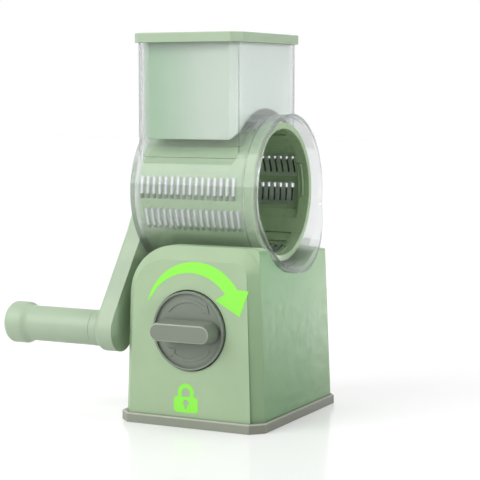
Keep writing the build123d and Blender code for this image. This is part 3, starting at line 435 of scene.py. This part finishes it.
def arc(cx, cz, radius, start, end, count):
    """Points on an arc in (x, z), angles in degrees."""
    step = (end - start) / (count - 1)
    angles = [math.radians(start + i * step) for i in range(count)]
    return [(cx + radius * math.cos(a), cz + radius * math.sin(a)) for a in angles]


# Curved arrow over the knob: two arcs that close in at the tail, and a broad head
outer_arc = arc(0.00504, KNOB_Z + 0.01003, 0.04257, 33.4, 165.7, 48)
inner_arc = arc(0.00042, KNOB_Z + 0.00601, 0.03807, 151, 38, 44)
arrow_head = [(0.0223, 0.0986), (0.0429, 0.0873), (0.0502, 0.1071)]
printed("turn_arrow", outer_arc + inner_arc + arrow_head)

# Closed padlock below it: a rounded body with a keyhole, and a shackle
LOCK_X = -0.0024
LOCK_HALF = 0.0079              # middle to the centre of a corner
LOCK_LOW = 0.0135
LOCK_HIGH = 0.0207
LOCK_CORNER = 0.0025
KEYHOLE_Z = 0.0186
KEYHOLE_RADIUS = 0.0023
KEYHOLE_FOOT = 0.0138
KEYHOLE_HALF = 0.0009
SHACKLE_Z = 0.0265
SHACKLE_OUTER = 0.0069
SHACKLE_INNER = 0.0035
SHACKLE_FOOT = 0.0232
lock_corners = [(LOCK_HALF, LOCK_LOW), (LOCK_HALF, LOCK_HIGH), (-LOCK_HALF, LOCK_HIGH), (-LOCK_HALF, LOCK_LOW)]
lock_body = []
for quarter, (aside, z) in enumerate(lock_corners):
    lock_body += arc(LOCK_X + aside, z, LOCK_CORNER, 90 * quarter - 90, 90 * quarter, 6)
keyhole = arc(LOCK_X, KEYHOLE_Z, KEYHOLE_RADIUS, -60, 240, 14)
keyhole += [(LOCK_X - KEYHOLE_HALF, KEYHOLE_FOOT), (LOCK_X + KEYHOLE_HALF, KEYHOLE_FOOT)]
printed("lock_mark_body", lock_body, [keyhole])
shackle = arc(LOCK_X, SHACKLE_Z, SHACKLE_OUTER, 0, 180, 18)
shackle += [(LOCK_X - SHACKLE_OUTER, SHACKLE_FOOT), (LOCK_X - SHACKLE_INNER, SHACKLE_FOOT)]
shackle += arc(LOCK_X, SHACKLE_Z, SHACKLE_INNER, 180, 0, 14)
shackle += [(LOCK_X + SHACKLE_INNER, SHACKLE_FOOT), (LOCK_X + SHACKLE_OUTER, SHACKLE_FOOT)]
printed("lock_mark_shackle", shackle)

# Two raised arrows on the knob's dish, one half a turn from the other
DISH_ARROW_RADIUS = 0.0226
DISH_ARROW_HALF = 0.001
DISH_ARROW_BARB = 0.0036
DISH_ARROW_TAIL = 141           # degrees
DISH_ARROW_NECK = 54
DISH_ARROW_TIP = 38
DISH_ARROW_RISE = 0.0006
DISH_ARROW_SINK = 0.0001
for number, turn in ((1, 0), (2, 180)):
    tail = DISH_ARROW_TAIL + turn
    neck = DISH_ARROW_NECK + turn
    tip = DISH_ARROW_TIP + turn
    flag = arc(0, KNOB_Z, DISH_ARROW_RADIUS + DISH_ARROW_HALF, tail, neck, 26)
    flag += arc(0, KNOB_Z, DISH_ARROW_RADIUS + DISH_ARROW_BARB, neck, neck + 0.1, 2)
    flag += arc(0, KNOB_Z, DISH_ARROW_RADIUS, tip, tip + 0.1, 2)
    flag += arc(0, KNOB_Z, DISH_ARROW_RADIUS - DISH_ARROW_BARB, neck, neck + 0.1, 2)
    flag += arc(0, KNOB_Z, DISH_ARROW_RADIUS - DISH_ARROW_HALF, neck, tail, 26)
    raised(f"knob_arrow_{number}", flag, [], grey, DISH_ARROW_RISE, lambda z: KNOB_DISH_Y + DISH_ARROW_SINK,
           "knob")


def lathe(name, profile, steps=96):
    """Solid turned about the Z axis from (radius, height) points that run from axis to axis."""
    vertices = []
    for i in range(steps):
        a = 2 * math.pi * i / steps
        vertices += [(r * math.cos(a), r * math.sin(a), h) for r, h in profile]
    n = len(profile)
    faces = []
    for i in range(steps):
        j = (i + 1) % steps
        for k in range(n):
            m = (k + 1) % n
            faces.append((i * n + k, j * n + k, j * n + m, i * n + m))
    mesh = polygons(name, vertices, faces, True)
    work = bmesh.new()
    work.from_mesh(mesh)
    bmesh.ops.remove_doubles(work, verts=work.verts, dist=1e-7)
    bmesh.ops.dissolve_degenerate(work, dist=1e-7, edges=work.edges)
    bmesh.ops.recalc_face_normals(work, faces=work.faces)
    work.to_mesh(mesh)
    work.free()
    return mesh


# Suction cup: thin flexible disc with a lip, stretched by the stem
cup_low, cup_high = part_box("suction_cup")
cup_radius = cup_high[0]
cup_base = cup_low[2]
cup_top = cup_high[2]
cup_profile = [
    (0.0, cup_base + 0.0012), (cup_radius * 0.55, cup_base + 0.0011), (cup_radius - 0.006, cup_base + 0.0006),
    (cup_radius - 0.0035, cup_base), (cup_radius - 0.0012, cup_base), (cup_radius, cup_base + 0.0004),
    (cup_radius, cup_base + 0.0013), (cup_radius * 0.85, cup_base + 0.0019),
    (cup_radius * 0.5, cup_base + 0.0026), (0.0125, cup_base + 0.0028), (0.0098, cup_base + 0.0033),
    (0.009, cup_top - 0.0003), (0.0086, cup_top), (0.0, cup_top),
]
cup = shown("suction_cup_rubber", lathe("suction_cup_rubber", cup_profile), rubber)
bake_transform(cup)
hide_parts("suction_cup")


# =====================================================================================
# Floor, lights and camera
# =====================================================================================
FLOOR_REACH = 6.0
FLOOR_DROP = 0.0002             # under the foot, so that the two don't flicker
FLOOR_COLOUR = (0.86, 0.86, 0.86, 1.0)
FLOOR_SPAN = (0.25, 1.2)        # metres from the object's middle
FLOOR_GLOW = (0.27, 0.3)        # near and far: with the lamps' light it makes the floor meet the background
AMBIENT = 0.33                  # world's light on things; what is seen of it is 1, white


def floor_material():
    """White floor that meets the white background but keeps the shadow."""
    s = Shader("studio_floor")
    s.bsdf.inputs["Base Color"].default_value = FLOOR_COLOUR
    s.bsdf.inputs["Roughness"].default_value = 0.16
    s.bsdf.inputs["Specular IOR Level"].default_value = 0.2
    s.bsdf.inputs["Emission Color"].default_value = WHITE
    away = s.vector_math("LENGTH", s.add("ShaderNodeTexCoord").outputs["Object"])
    level = s.remap(away, FLOOR_SPAN, *FLOOR_GLOW)
    s.put(s.math("MULTIPLY", s.seen_white(), level), s.bsdf, "Emission Strength")
    return s.material


corners = [(x * FLOOR_REACH, y * FLOOR_REACH, 0) for x, y in ((-1, -1), (1, -1), (1, 1), (-1, 1))]
floor = shown("studio_floor", polygons("studio_floor", corners, [(0, 1, 2, 3)], False), floor_material())
floor.location.z = -FLOOR_DROP

world = bpy.data.worlds.new("studio")
bpy.context.scene.world = world
world.use_nodes = True
sky = Nodes(world.node_tree)
background = sky.tree.nodes["Background"]
background.inputs["Color"].default_value = WHITE
sky.put(sky.remap(sky.seen_white(), (0.0, 1.0), AMBIENT, 1.0), background, "Strength")


def soft_light(name, place, target, size, power, spread=180.0):
    """Square area light aimed at a point, with its spread in degrees."""
    data = bpy.data.lights.new(name, "AREA")
    data.size = size
    data.energy = power
    data.spread = math.radians(spread)
    light = bpy.data.objects.new(name, data)
    light.location = place
    light.rotation_euler = (Vector(target) - Vector(place)).to_track_quat("-Z", "Y").to_euler()
    light.visible_transmission = False
    light.visible_camera = False
    bpy.context.scene.collection.objects.link(light)


middle = (0.0, 0.0, 0.15)
soft_light("key", (-1.0, -1.45, 1.2), middle, size=1.6, power=29.0)
soft_light("low_fill", (-0.15, -1.3, 0.12), (0.0, 0.0, 0.14), size=0.8, power=1.7)
soft_light("fill", (0.9, -0.15, 0.5), (0.03, 0.0, 0.25), size=0.3, power=0.13, spread=16.0)
soft_light("side_fill", (0.21, 0.36, 0.04), (0.06, 0.06, 0.07), size=0.12, power=0.026, spread=60.0)
soft_light("top", (0.1, 0.3, 1.6), middle, size=1.0, power=7.0)

# Camera at the photograph's viewing angle
CAMERA_AZIMUTH = 26.557         # degrees from the front towards +X
CAMERA_ELEVATION = 5.48
camera_data = bpy.data.cameras.new("camera")
camera_data.sensor_width = 36.0
camera_data.lens = 117.85
camera = bpy.data.objects.new("camera", camera_data)
camera.location = (0.5631, -1.1098, 0.2569)
camera.rotation_euler = (math.radians(90 - CAMERA_ELEVATION), 0.0, math.radians(CAMERA_AZIMUTH))
bpy.context.scene.collection.objects.link(camera)
bpy.context.scene.camera = camera
bpy.context.scene.view_settings.view_transform = "Standard"
